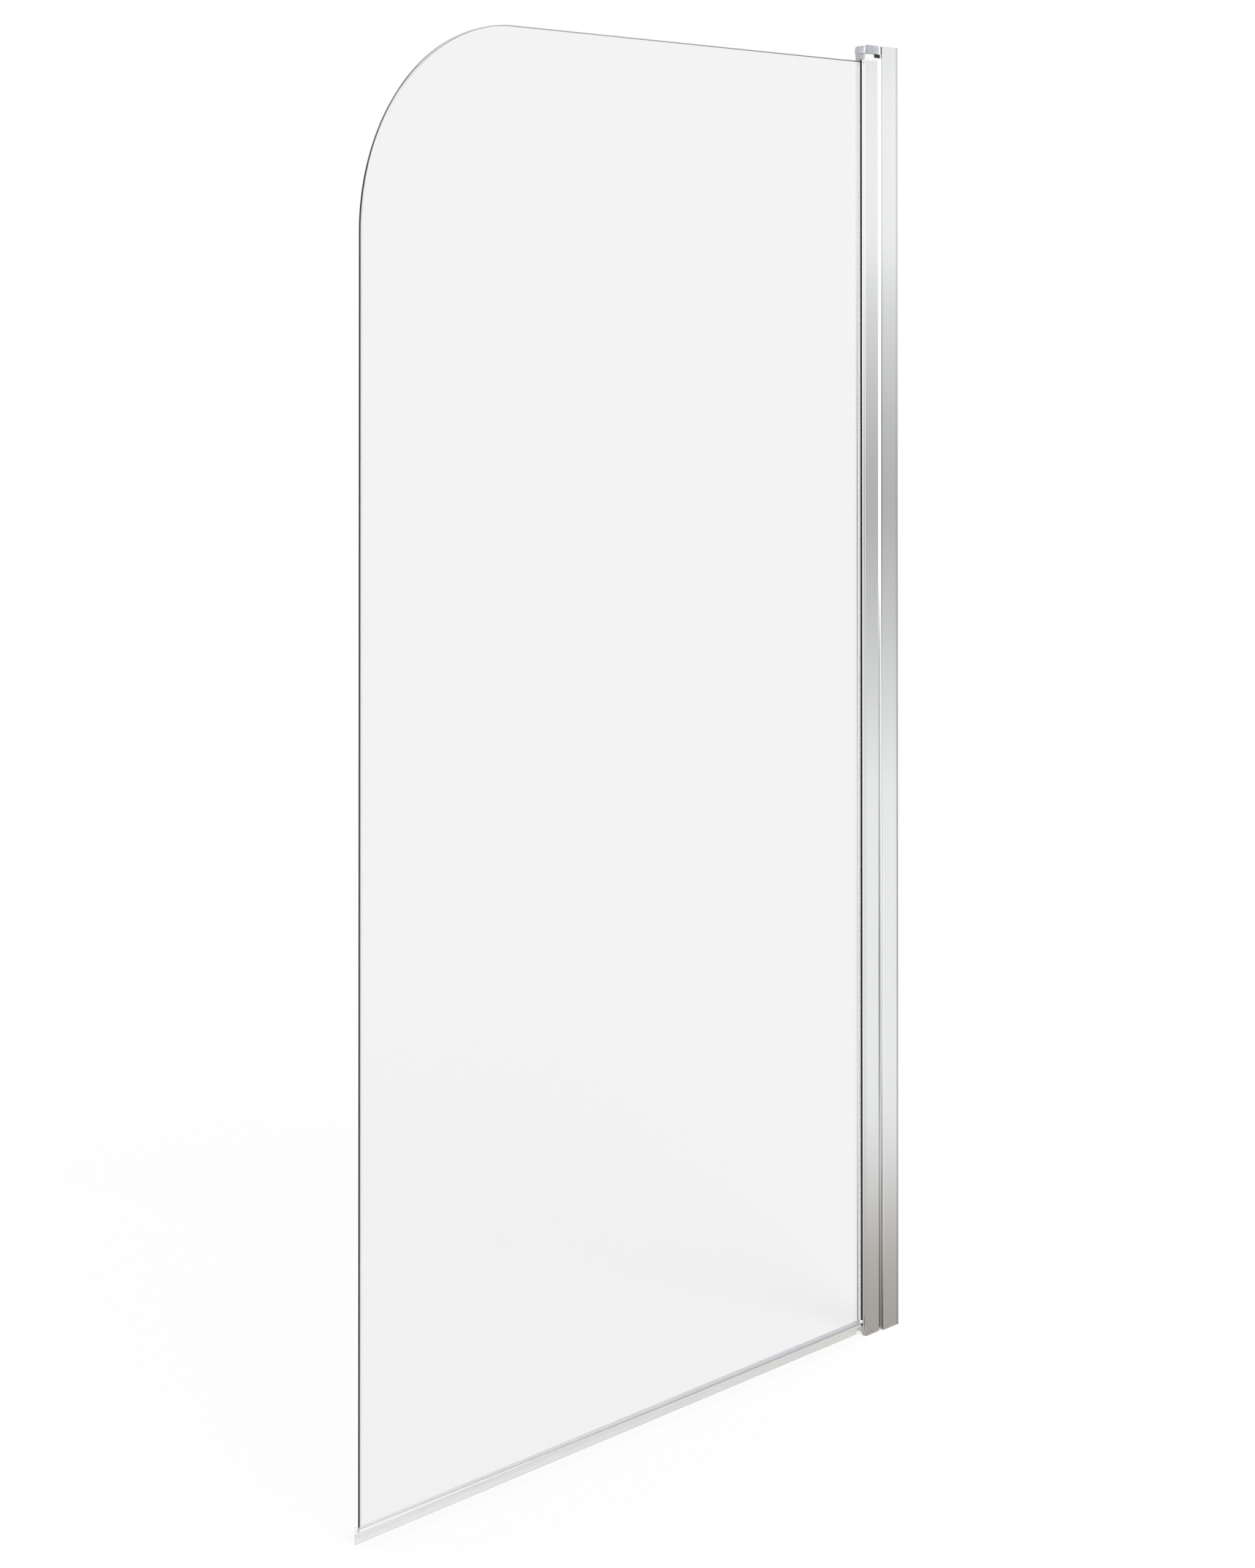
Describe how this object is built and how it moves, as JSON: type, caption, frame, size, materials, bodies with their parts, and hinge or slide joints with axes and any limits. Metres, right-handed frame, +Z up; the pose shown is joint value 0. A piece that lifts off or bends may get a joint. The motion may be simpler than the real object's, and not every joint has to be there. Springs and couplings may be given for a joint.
{
  "type": "bath screen",
  "caption": "Pivoting bath screen: clear glass pane with a rounded free corner, bright wall and pivot profiles, pivot brackets above and below, and a clear seal onto the bath rim.",
  "frame": {"origin": "foot of the wall profile's back face, in the middle of its depth, level with the bath's rim", "axes": "+X into the wall, so the screen reaches out along -X; -Y towards the room and +Y over the bath; +Z up"},
  "size_m": [0.8028, 0.0247, 1.4],
  "materials": {
    "polished_profile": "bright polished, chrome look",
    "satin_bracket": "satin die-cast",
    "chrome_trim": "bright plated",
    "stainless": "plain stainless",
    "white_nylon": "smooth moulded nylon",
    "grey_nylon": "smooth moulded nylon",
    "black_acetal": "smooth moulded",
    "black_rubber": "matt extruded",
    "clear_vinyl": "clear, slightly milky",
    "clear_glass": "clear toughened, polished edges"
  },
  "bodies": {
    "wall_side": {"wall_profile": "polished_profile", "wall_profile_top_cap": "chrome_trim"},
    "adjuster": {"adjuster_profile": "polished_profile", "top_pivot_bracket": "satin_bracket", "top_pivot_pin": "stainless", "bottom_pivot_bracket": "polished_profile", "bottom_pivot_pin": "stainless", "bottom_thrust_washer": "stainless", "top_bracket_screws": "stainless", "bottom_bracket_screws": "stainless", "adjusting_screws": "stainless", "adjusting_screw_washers": "white_nylon", "adjusting_screw_caps": "chrome_trim"},
    "screen": {"pivot_profile": "polished_profile", "top_end_plug": "white_nylon", "top_plug_screw": "stainless", "top_bush_clip": "black_acetal", "bottom_end_plug": "grey_nylon", "glass_setting_pad": "black_rubber", "glass_panel": "clear_glass", "front_gasket": "black_rubber", "rear_gasket": "clear_vinyl", "bath_seal": "clear_vinyl"}
  },
  "joints": [
    {"name": "width_adjust", "type": "slide", "parent": "wall_side", "child": "adjuster", "axis": [-1, 0, 0], "range_m": [0, 0.015]},
    {"name": "swing", "type": "hinge", "parent": "adjuster", "child": "screen", "pos_m": [-0.044, 0, 0.7], "axis": [0, 0, 1], "range_deg": [-90, 90]}
  ]
}
